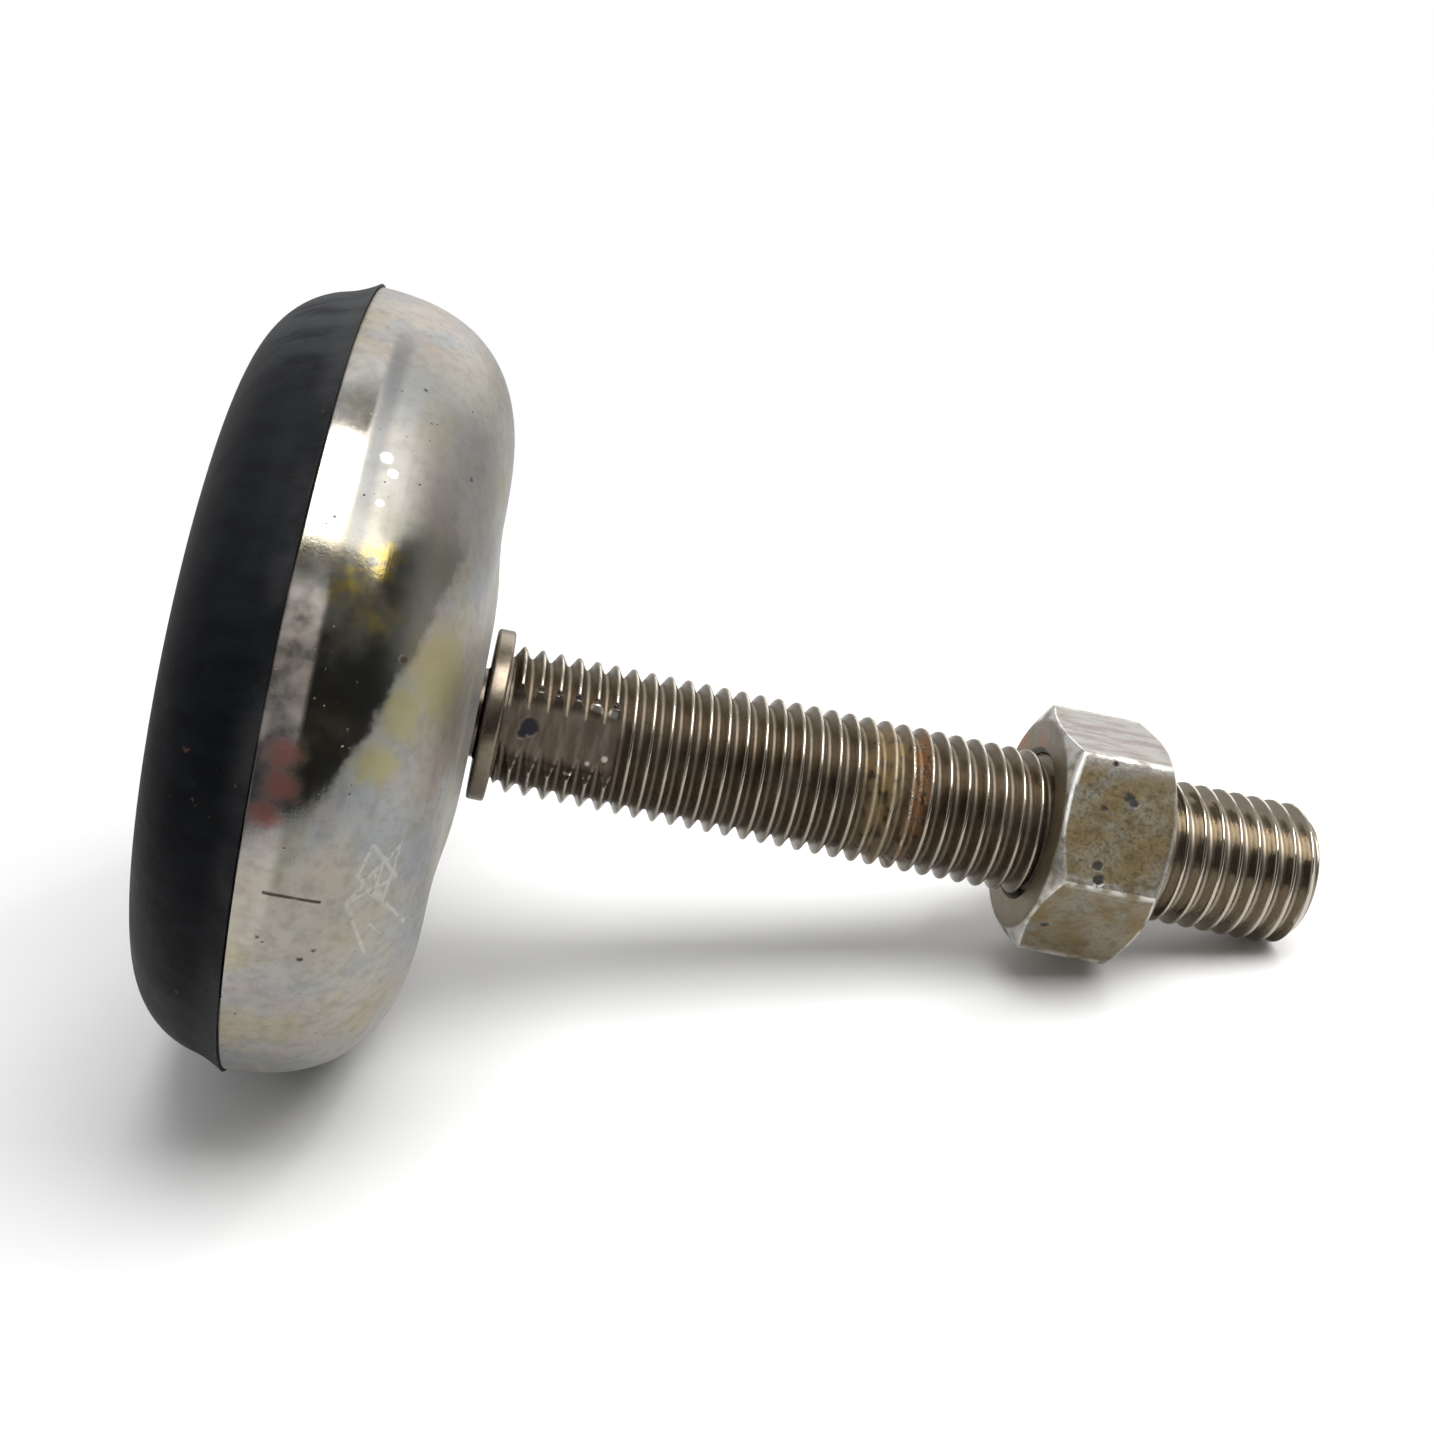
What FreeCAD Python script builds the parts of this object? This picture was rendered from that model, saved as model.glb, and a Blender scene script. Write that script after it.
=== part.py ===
import FreeCAD, Part
import math
import os

# Heavy swivel leveling foot: a rubber-soled steel dome that carries a ball-ended M20 spindle
# and its lock nut. Millimetres. +Z runs up along the spindle; the origin is the middle of the
# sole, on the floor.

V = FreeCAD.Vector

# Sole, dome and base plate
pad_radius = 52.0
pad_height = 13.25           # floor to the seam between rubber and steel
pad_taper = math.radians(14.0)
pad_side_radius = 51.2       # what the tapered side would measure at the seam without its flare
pad_flare_height = 4.0       # band under the seam where the side flares out to the full radius
pad_corner_radius = 12.0
pad_groove_radii = (14.0, 24.0, 34.0)
pad_groove_width = 2.0
pad_groove_depth = 1.0
dome_radius = 51.6
dome_wall = 2.2
dome_height = 22.45          # seam to the flat land round the spindle
dome_rim_height = 0.5        # upright band at the rim
dome_shoulder_radius = 28.0  # where the rounded shoulder meets the crown
dome_side_fullness = 0.79    # how far up the side stays steep; 0.55 would be a quarter ellipse
dome_top_fullness = 0.53     # how far out the shoulder stays level
dome_crown = 1.4             # rise from the shoulder to the land
dome_land_radius = 10.0
dome_hole_radius = 8.8
dome_seat_radius = 18.0      # flat on the underside of the land, where the hub bears
plate_thickness = 3.0
plate_recess = 2.0           # how far the plate is let into the rubber
plate_clearance = 0.05       # between the plate's edge and the dome's wall

# Ball joint
ball_radius = 9.5
ball_clearance = 0.05
ball_floor = 1.4             # seat thickness under the ball
seat_radius = 12.45
seat_clearance = 0.05
seat_split_gap = 0.1
seat_top_above_ball = 6.0    # top of the upper seat above the ball's centre
seat_mouth_flare = 0.8
hub_bore_radius = 12.5
hub_outer_radius = 17.5
hub_flange_radius = 24.0
hub_flange_height = 4.0
ring_groove_radius = 13.7
ring_thickness = 1.2
ring_inner_radius = 11.4
ring_gap_angle = 50.0
ring_ear_radius = 1.9
ring_ear_inset = 0.95        # how far each ear's centre sits inside the band's inner edge
ring_ear_hole_radius = 0.7

# Spindle
neck_radius = 6.0
collar_gap = 0.8             # dome land to the collar's underside
collar_radius = 11.55
collar_thickness = 2.4
collar_bevel = 0.45
relief_height = 0.4          # undercut between the collar and the thread
relief_depth = 0.15          # how far the undercut goes below the thread's root
spindle_top = 150.0
tip_chamfer = 1.6
flats_across = 16.0
flats_length = 15.5          # measured up from the collar

# Thread, right-hand M20 x 2.5
pitch = 2.5
thread_radius = 9.825
thread_depth = 1.45
root_width = 0.45
groove_overrun = 0.15         # how far the groove's cutter reaches past the crests
flank_slope = math.tan(math.radians(30.0))
crest_height_at_minus_x = 40.4   # one crest crosses the -X side at this height
thread_side_clearance = 0.08
thread_crest_clearance = 0.12

# Lock nut
nut_across_flats = 29.5
nut_height = 15.2
nut_bottom = 112.0
nut_turn = -14.6             # degrees about +Z from flats square to Y
nut_bearing_radius = 14.3
nut_chamfer_slope = math.tan(math.radians(30.0))
nut_bore_radius = 8.7
nut_countersink_radius = 10.6
nut_cutter_overrun = 0.3     # how far the thread's cutter reaches inside the nut's bore

# Heights that follow
plate_bottom = pad_height - plate_recess
plate_top = plate_bottom + plate_thickness
dome_top = pad_height + dome_height
dome_roof = dome_top - dome_wall
ball_centre = plate_top + ball_floor + ball_clearance + ball_radius
seat_top = ball_centre + seat_top_above_ball
collar_bottom = dome_top + collar_gap
collar_top = collar_bottom + collar_thickness
thread_root_radius = thread_radius - thread_depth
relief_radius = thread_root_radius - relief_depth
nut_top = nut_bottom + nut_height


def line(a, b):
    return Part.LineSegment(V(a[0], 0, a[1]), V(b[0], 0, b[1])).toShape()


def arc(a, middle, b):
    return Part.Arc(V(a[0], 0, a[1]), V(middle[0], 0, middle[1]), V(b[0], 0, b[1])).toShape()


def bezier(*points):
    curve = Part.BezierCurve()
    curve.setPoles([V(r, 0, z) for r, z in points])
    return curve.toShape()


def revolve(edges):
    """Turn a closed outline in the XZ plane, radius along X, once about Z."""
    face = Part.Face(Part.Wire(edges))
    return face.revolve(V(0, 0, 0), V(0, 0, 1), 360)


def turned(points):
    """Revolve a closed outline of straight lines."""
    ends = points[1:] + points[:1]
    return revolve([line(a, b) for a, b in zip(points, ends)])


def cylinder(radius, bottom, top):
    return Part.makeCylinder(radius, top - bottom, V(0, 0, bottom))


def rubber_pad():
    """Moulded sole: grooved floor face, tapered side that flares at the seam, plate recess."""

    def side(height):
        return pad_side_radius - (pad_height - height) * math.tan(pad_taper)

    corner_top = pad_corner_radius * (1 - math.sin(pad_taper))
    corner_x = side(corner_top) - pad_corner_radius * math.cos(pad_taper)
    half_way = (math.pi / 2 + pad_taper) / 2
    corner_mid = (
        corner_x + pad_corner_radius * math.cos(half_way),
        pad_corner_radius * (1 - math.sin(half_way)),
    )
    flare_start = pad_height - pad_flare_height
    flare_middle = pad_height - pad_flare_height / 2
    inner = dome_radius - dome_wall
    outline = [
        line((0, 0), (corner_x, 0)),
        arc((corner_x, 0), corner_mid, (side(corner_top), corner_top)),
        line((side(corner_top), corner_top), (side(flare_start), flare_start)),
        bezier(
            (side(flare_start), flare_start),
            (side(flare_middle), flare_middle),
            (pad_radius, pad_height),
        ),
        line((pad_radius, pad_height), (inner, pad_height)),
        line((inner, pad_height), (inner, plate_bottom)),
        line((inner, plate_bottom), (0, plate_bottom)),
        line((0, plate_bottom), (0, 0)),
    ]
    pad = revolve(outline)
    for radius in pad_groove_radii:
        ring = cylinder(radius + pad_groove_width / 2, 0, pad_groove_depth)
        core = cylinder(radius - pad_groove_width / 2, 0, pad_groove_depth)
        pad = pad.cut(ring.cut(core))
    return pad


def dome_edges(rim, shoulder, land, top):
    """One face of the pressed dome, from the rim up to the land: band, shoulder, crown."""
    band_top = pad_height + dome_rim_height
    crown_start = top - dome_crown
    rise = crown_start - band_top
    run = rim - shoulder
    return [
        line((rim, pad_height), (rim, band_top)),
        bezier(
            (rim, band_top),
            (rim, band_top + dome_side_fullness * rise),
            (shoulder + dome_top_fullness * run, crown_start),
            (shoulder, crown_start),
        ),
        bezier(
            (shoulder, crown_start),
            ((shoulder + land) / 2, crown_start),
            ((shoulder + land) / 2, top),
            (land, top),
        ),
    ]


def dome_shell():
    """Pressed steel cover with a flat land and a clearance hole for the spindle's neck."""
    inner_rim = dome_radius - dome_wall
    outer = dome_edges(dome_radius, dome_shoulder_radius, dome_land_radius, dome_top)
    inner = dome_edges(inner_rim, dome_shoulder_radius, dome_seat_radius, dome_roof)
    hole = [
        line((dome_land_radius, dome_top), (dome_hole_radius, dome_top)),
        line((dome_hole_radius, dome_top), (dome_hole_radius, dome_roof)),
        line((dome_hole_radius, dome_roof), (dome_seat_radius, dome_roof)),
    ]
    seam = [line((inner_rim, pad_height), (dome_radius, pad_height))]
    return revolve(outer + hole + list(reversed(inner)) + seam)


def base_plate():
    """Steel disc that closes the dome and spreads the load on the rubber."""
    return cylinder(dome_radius - dome_wall - plate_clearance, plate_bottom, plate_top)


def ball_hub():
    """Turned steel socket body, standing on the plate under the dome's land."""
    flange_top = plate_top + hub_flange_height
    groove_bottom = seat_top
    groove_top = seat_top + ring_thickness
    return turned([
        (hub_bore_radius, plate_top),
        (hub_flange_radius, plate_top),
        (hub_flange_radius, flange_top),
        (hub_outer_radius, flange_top),
        (hub_outer_radius, dome_roof),
        (hub_bore_radius, dome_roof),
        (hub_bore_radius, groove_top),
        (ring_groove_radius, groove_top),
        (ring_groove_radius, groove_bottom),
        (hub_bore_radius, groove_bottom),
    ])


def retaining_ring():
    """Internal spring ring: an open band with two eared ends."""
    bottom = seat_top
    top = seat_top + ring_thickness
    ring = cylinder(ring_groove_radius, bottom, top).cut(cylinder(ring_inner_radius, bottom, top))
    half_gap = math.radians(ring_gap_angle / 2)
    # The wedge's point is on the axis and its far edge is well outside the band.
    reach = 2 * ring_groove_radius
    corners = [
        V(0, 0, bottom),
        V(reach * math.cos(half_gap), -reach * math.sin(half_gap), bottom),
        V(reach * math.cos(half_gap), reach * math.sin(half_gap), bottom),
        V(0, 0, bottom),
    ]
    wedge = Part.Face(Part.makePolygon(corners)).extrude(V(0, 0, ring_thickness))
    ring = ring.cut(wedge)
    ear_distance = ring_inner_radius - ring_ear_inset
    for side in (-1, 1):
        angle = side * (half_gap + math.asin(ring_ear_radius / ring_inner_radius))
        centre = V(ear_distance * math.cos(angle), ear_distance * math.sin(angle), bottom)
        ring = ring.fuse(Part.makeCylinder(ring_ear_radius, ring_thickness, centre))
        ring = ring.cut(Part.makeCylinder(ring_ear_hole_radius, ring_thickness, centre))
    return ring.removeSplitter()


def lower_seat():
    """Acetal cup under the ball."""
    bottom = plate_top + seat_clearance
    top = ball_centre - seat_split_gap / 2
    cup = cylinder(seat_radius, bottom, top)
    return cup.cut(Part.makeSphere(ball_radius + ball_clearance, V(0, 0, ball_centre)))


def upper_seat():
    """Acetal ring over the ball, with a flared mouth that lets the neck tilt."""
    bottom = ball_centre + seat_split_gap / 2
    top = seat_top - seat_clearance
    ring = cylinder(seat_radius, bottom, top)
    ring = ring.cut(Part.makeSphere(ball_radius + ball_clearance, V(0, 0, ball_centre)))
    cavity = ball_radius + ball_clearance
    mouth = math.sqrt(cavity ** 2 - (top - ball_centre) ** 2)
    flare = Part.makeCone(mouth, mouth + seat_mouth_flare, seat_mouth_flare,
                          V(0, 0, top - seat_mouth_flare / 2))
    return ring.cut(flare)


def helical_cutter(half_widths, first_turn, last_turn):
    """Sweep a symmetric thread profile, given as (radius, half width) pairs, along its helix.

    Turns are counted in pitches above the crest that crosses the -X side, and the helix is
    joined from one exact turn at a time, which keeps a long thread true to its radius.
    """
    turns = []
    for i in range(round(last_turn - first_turn)):
        turn = Part.makeHelix(pitch, pitch, thread_radius)
        turn.translate(V(0, 0, i * pitch))
        turns += turn.Edges
    sweep = Part.BRepOffsetAPI.MakePipeShell(Part.Wire(turns))
    sweep.setBiNormalMode(V(0, 0, 1))
    upper = [V(r, 0, h) for r, h in half_widths]
    lower = [V(r, 0, -h) for r, h in reversed(half_widths)]
    sweep.add(Part.makePolygon(upper + lower + upper[:1]))
    sweep.build()
    sweep.makeSolid()
    cutter = sweep.shape()
    # The helix starts on the +X side, so half a turn puts its start on the -X side.
    cutter.rotate(V(0, 0, 0), V(0, 0, 1), 180)
    cutter.translate(V(0, 0, crest_height_at_minus_x + first_turn * pitch))
    return cutter


def threaded_shank(bottom):
    """Threaded rod from the undercut to the tip, chamfered at both ends."""
    start = bottom + (thread_radius - relief_radius) * flank_slope
    rod = turned([
        (0, bottom),
        (relief_radius, bottom),
        (thread_radius, start),
        (thread_radius, spindle_top - tip_chamfer),
        (thread_radius - tip_chamfer, spindle_top),
        (0, spindle_top),
    ])
    past_crest = thread_depth + groove_overrun
    groove = helical_cutter(
        [
            (thread_root_radius, root_width / 2),
            (thread_root_radius + past_crest, root_width / 2 + past_crest * flank_slope),
        ],
        math.floor((bottom - crest_height_at_minus_x) / pitch) - 0.5,
        math.ceil((spindle_top - crest_height_at_minus_x) / pitch) + 0.5,
    )
    return rod.cut(groove)


def spindle():
    """Ball, neck, collar and threaded shank in one steel piece, with two wrench flats."""
    neck_meets_ball = ball_centre + math.sqrt(ball_radius ** 2 - neck_radius ** 2)
    relief_top = collar_top + relief_height
    ball_bottom = ball_centre - ball_radius
    bevelled_radius = collar_radius - collar_bevel
    lower = revolve([
        arc((0, ball_bottom), (ball_radius, ball_centre), (neck_radius, neck_meets_ball)),
        line((neck_radius, neck_meets_ball), (neck_radius, collar_bottom)),
        line((neck_radius, collar_bottom), (bevelled_radius, collar_bottom)),
        line((bevelled_radius, collar_bottom), (collar_radius, collar_bottom + collar_bevel)),
        line((collar_radius, collar_bottom + collar_bevel),
             (collar_radius, collar_top - collar_bevel)),
        line((collar_radius, collar_top - collar_bevel), (bevelled_radius, collar_top)),
        line((bevelled_radius, collar_top), (relief_radius, collar_top)),
        line((relief_radius, collar_top), (relief_radius, relief_top)),
        line((relief_radius, relief_top), (0, relief_top)),
        line((0, relief_top), (0, ball_bottom)),
    ])
    shank = threaded_shank(relief_top)
    block_width = 2 * thread_radius + 2
    block_depth = thread_radius
    for low in (flats_across / 2, -flats_across / 2 - block_depth):
        block = Part.makeBox(block_width, block_depth, flats_length)
        block.translate(V(-block_width / 2, low, collar_top))
        shank = shank.cut(block)
        lower = lower.cut(block)
    return shank.fuse(lower)


def lock_nut():
    """Hexagon nut, chamfered on both faces, with a real internal thread."""
    corner = nut_across_flats / math.sqrt(3)
    points = [
        V(corner * math.cos(math.radians(a)), corner * math.sin(math.radians(a)), nut_bottom)
        for a in range(0, 361, 60)
    ]
    body = Part.Face(Part.makePolygon(points)).extrude(V(0, 0, nut_height))
    drop = (corner - nut_bearing_radius) * nut_chamfer_slope
    envelope = turned([
        (0, nut_bottom),
        (nut_bearing_radius, nut_bottom),
        (corner, nut_bottom + drop),
        (corner, nut_top - drop),
        (nut_bearing_radius, nut_top),
        (0, nut_top),
    ])
    body = body.common(envelope)
    body.rotate(V(0, 0, 0), V(0, 0, 1), nut_turn)
    sink = nut_countersink_radius - nut_bore_radius
    bore = turned([
        (0, nut_bottom),
        (nut_countersink_radius, nut_bottom),
        (nut_bore_radius, nut_bottom + sink),
        (nut_bore_radius, nut_top - sink),
        (nut_countersink_radius, nut_top),
        (0, nut_top),
    ])
    body = body.cut(bore)
    inner = nut_bore_radius - nut_cutter_overrun
    outer = thread_radius + thread_crest_clearance

    def ridge_half_width(radius):
        groove_half = root_width / 2 + (radius - thread_root_radius) * flank_slope
        return pitch / 2 - groove_half + thread_side_clearance

    first = math.floor((nut_bottom - crest_height_at_minus_x) / pitch) - 1
    last = math.ceil((nut_top - crest_height_at_minus_x) / pitch) + 1
    ridge = helical_cutter(
        [(inner, ridge_half_width(inner)), (outer, ridge_half_width(outer))],
        first,
        last,
    )
    return body.cut(ridge)


PARTS = {
    "rubber_pad": rubber_pad,
    "dome_shell": dome_shell,
    "base_plate": base_plate,
    "ball_hub": ball_hub,
    "retaining_ring": retaining_ring,
    "lower_seat": lower_seat,
    "upper_seat": upper_seat,
    "spindle": spindle,
    "lock_nut": lock_nut,
}

os.makedirs("parts", exist_ok=True)
for name, make in PARTS.items():
    shape = make()
    solids = shape.Solids
    print(name, "solids", len(solids), "valid", shape.isValid(), "volume", round(shape.Volume, 1))
    shape = solids[0] if len(solids) == 1 else Part.makeCompound(solids)
    shape.exportStep(f"parts/{name}.step")
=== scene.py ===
import math

import bmesh
import bpy
from mathutils import Matrix, Vector, noise


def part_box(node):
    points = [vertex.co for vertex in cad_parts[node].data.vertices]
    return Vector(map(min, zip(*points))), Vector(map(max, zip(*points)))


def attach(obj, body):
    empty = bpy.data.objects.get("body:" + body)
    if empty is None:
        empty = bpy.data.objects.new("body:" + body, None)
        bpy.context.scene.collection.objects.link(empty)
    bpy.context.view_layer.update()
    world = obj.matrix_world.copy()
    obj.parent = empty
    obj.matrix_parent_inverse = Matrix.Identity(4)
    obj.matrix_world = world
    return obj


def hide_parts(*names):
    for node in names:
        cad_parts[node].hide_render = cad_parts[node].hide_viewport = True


# The looks of a swivel leveling foot that lies on its side on a white table: rubber sole,
# tarnished nickel dome, threaded spindle and lock nut. Lengths are in millimetres, in the
# CAD frame, and are turned into metres where a mesh, light or camera is made.

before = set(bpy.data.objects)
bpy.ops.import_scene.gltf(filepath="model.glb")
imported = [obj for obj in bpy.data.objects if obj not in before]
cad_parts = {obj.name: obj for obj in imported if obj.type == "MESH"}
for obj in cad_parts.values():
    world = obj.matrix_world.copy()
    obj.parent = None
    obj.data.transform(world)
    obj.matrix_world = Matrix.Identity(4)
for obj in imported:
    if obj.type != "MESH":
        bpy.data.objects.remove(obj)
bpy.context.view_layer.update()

MM = 0.001

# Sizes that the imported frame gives
PAD_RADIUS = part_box("rubber_pad")[1].x / MM
PAD_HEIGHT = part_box("rubber_pad")[1].z / MM
DOME_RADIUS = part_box("dome_shell")[1].x / MM
DOME_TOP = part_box("dome_shell")[1].z / MM
PLATE_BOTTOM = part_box("base_plate")[0].z / MM
BALL_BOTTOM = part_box("spindle")[0].z / MM
SPINDLE_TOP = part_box("spindle")[1].z / MM
COLLAR_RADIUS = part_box("spindle")[1].x / MM
NUT_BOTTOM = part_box("lock_nut")[0].z / MM
NUT_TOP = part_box("lock_nut")[1].z / MM

# Sole
PAD_TAPER = math.radians(14)
PAD_SIDE_RADIUS = 51.2       # what the side would measure at the seam without its flare
PAD_FLARE = 4.0              # height of the flare under the seam
PAD_CORNER = 12.0
GROOVES = (14.0, 24.0, 34.0)
GROOVE_HALF = 1.0
GROOVE_DEPTH = 1.0
GROOVE_LIP = 0.2             # radius of the groove's outer edges
GROOVE_ROOT = 0.3            # radius of its inner corners
FAN_RADIUS = 0.5             # of the fan that closes a flat face at the axis

# Dome
DOME_WALL = 2.2
PLATE_RECESS = DOME_RADIUS - DOME_WALL      # inside radius at the rim, where the base plate sits
DOME_RIM = 0.5
DOME_SHOULDER = 28.0
DOME_SIDE_FULLNESS = 0.79
DOME_TOP_FULLNESS = 0.53
DOME_CROWN = 1.4
DOME_LAND = 10.0
DOME_SEAT = 18.0
DOME_HOLE = 8.8
DOME_RIM_EDGE = 0.3          # radii of the dome's edges: at its rim, and on both sides of its hole
DOME_TOP_EDGE = 0.4
DOME_ROOF_EDGE = 0.2
DOME_DENT = 0.0012           # share of a point's distance from the origin that a dent may take

# Spindle
BALL_RADIUS = 9.5
NECK_RADIUS = 6.0
COLLAR_BOTTOM = DOME_TOP + 0.8
COLLAR_TOP = COLLAR_BOTTOM + 2.4
COLLAR_BEVEL = 0.45
THREAD_START = COLLAR_TOP + 0.4
UNDERCUT_RADIUS = 8.225
FLATS_TOP = COLLAR_TOP + 15.5
FLAT_DISTANCE = 8.0
PITCH = 2.5
CREST_RADIUS = 9.825
CREST_HEIGHT = 40.4          # where a crest crosses the -X side
TIP_CHAMFER = 1.6
NICK_BY_FLATS = 0.12
NICK_ELSEWHERE = 0.05
NICK_FROM = 9.3              # radius that the knocks do not reach below
FLANK_SLOPE = math.tan(math.radians(30))

# Half of the thread's section: distance along the axis from a crest, then radius
THREAD_SECTION = (
    (0.0, CREST_RADIUS),
    (0.1, 9.81),
    (0.19, 9.755),
    (0.28, 9.63),
    (0.6, 9.09),
    (0.94, 8.52),
    (1.02, 8.43),
    (1.12, 8.385),
    (1.25, 8.375),
)

# Nut
NUT_FLATS = 29.5
NUT_TURN = math.radians(-14.6)
NUT_BEARING = 14.3
NUT_CORNER = 16.97           # rounded off a little inside the sharp 17.03
NUT_CHAMFER = 1.5            # about the height that the chamfer takes off at a corner
NUT_BORE = 8.7
NUT_PLAY = 0.12              # between its thread and the spindle's
NUT_SINK = 10.6

# Steps round the axis
PAD_STEPS = 192
DOME_STEPS = 256
BALL_STEPS = 96
FLATS_STEPS = 300
THREAD_STEPS = 100
NUT_STEPS = 108

# Vertices closer than the first are merged, and edges shorter than the second dissolved
MERGE_DISTANCE = 0.002
SLIVER = 0.0005


# Mesh helpers


def around(steps):
    """Evenly spaced angles for one turn."""
    return [2 * math.pi * i / steps for i in range(steps)]


def polar(radius, angle, height):
    """Place at a radius and an angle about the axis."""
    return Vector((radius * math.cos(angle), radius * math.sin(angle), height))


def bezier(a, b, c, d, steps):
    """Points of a cubic curve after its first one."""
    points = []
    for i in range(1, steps + 1):
        t = i / steps
        s = 1 - t
        weights = (s ** 3, 3 * s * s * t, 3 * s * t * t, t ** 3)
        points.append(tuple(sum(w * p[k] for w, p in zip(weights, (a, b, c, d))) for k in (0, 1)))
    return points


def corner(centre, radius, start, end, steps=5):
    """Points of a round corner, from one angle in degrees to another."""
    points = []
    for i in range(steps + 1):
        a = math.radians(start + (end - start) * i / steps)
        points.append((centre[0] + radius * math.cos(a), centre[1] + radius * math.sin(a)))
    return points


def add_rows(mesh, rows):
    """Join rows of vertices, each once round the axis, with quads."""
    for low, high in zip(rows, rows[1:]):
        for i in range(len(low)):
            j = (i + 1) % len(low)
            mesh.faces.new((low[i], low[j], high[j], high[i]))


def add_turned(mesh, outline, angles, shape=None):
    """Turn an outline of (radius, height) points about the axis; shape may move each point."""
    rows = []
    for radius, height in outline:
        row = []
        for a in angles:
            point = polar(radius, a, height)
            row.append(mesh.verts.new(shape(point) if shape else point))
        rows.append(row)
    add_rows(mesh, rows)
    return rows


def add_cap(mesh, row, height, facing_up):
    """Close a row of vertices with a fan about the axis."""
    middle = mesh.verts.new((0, 0, height))
    for i in range(len(row)):
        j = (i + 1) % len(row)
        ends = (row[i], row[j]) if facing_up else (row[j], row[i])
        mesh.faces.new((ends[0], ends[1], middle))


def add_thread(mesh, low, high, steps, radius_at, outward=True):
    """Wall of a thread between two heights. Its rows follow the helix, so crests stay crisp."""
    offsets = [-x for x, _ in reversed(THREAD_SECTION[1:-1])] + [x for x, _ in THREAD_SECTION]
    first = math.floor((low - CREST_HEIGHT) / PITCH) - 1
    last = math.ceil((high - CREST_HEIGHT) / PITCH) + 1
    heights = [k * PITCH + x for k in range(first, last + 1) for x in offsets]
    columns = []
    for angle in around(steps):
        lift = CREST_HEIGHT + PITCH * (angle / (2 * math.pi) - 0.5)
        column = []
        for h in heights:
            z = min(max(h + lift, low), high)
            column.append(mesh.verts.new(polar(radius_at(z, angle), angle, z)))
        columns.append(column)
    turn = len(offsets)
    for j, column in enumerate(columns):
        wraps = j == steps - 1
        beside = columns[0][turn:] if wraps else columns[j + 1]
        for i in range(min(len(column), len(beside)) - 1):
            quad = (column[i], beside[i], beside[i + 1], column[i + 1])
            mesh.faces.new(quad if outward else quad[::-1])


def thread_radius(height, angle):
    """Radius of the spindle's thread at a place on it."""
    turns = (height - CREST_HEIGHT) / PITCH - (angle / (2 * math.pi) - 0.5)
    offset = abs(turns - round(turns)) * PITCH
    for (x0, r0), (x1, r1) in zip(THREAD_SECTION, THREAD_SECTION[1:]):
        if offset <= x1:
            return r0 + (r1 - r0) * (offset - x0) / (x1 - x0)
    return THREAD_SECTION[-1][1]


def finish_piece(mesh, name, material, body, node, sharp=35):
    """Make the object in metres, shade it smooth up to a sharp angle, and seat it in the frame."""
    bmesh.ops.remove_doubles(mesh, verts=mesh.verts, dist=MERGE_DISTANCE)
    bmesh.ops.dissolve_degenerate(mesh, edges=mesh.edges, dist=SLIVER)
    for vertex in mesh.verts:
        vertex.co *= MM
    for face in mesh.faces:
        face.smooth = True
    data = bpy.data.meshes.new(name)
    mesh.to_mesh(data)
    mesh.free()
    data.set_sharp_from_angle(angle=math.radians(sharp))
    piece = bpy.data.objects.new(name, data)
    bpy.context.scene.collection.objects.link(piece)
    data.materials.append(material)
    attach(piece, body)
    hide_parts(node)


# Material helpers


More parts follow.
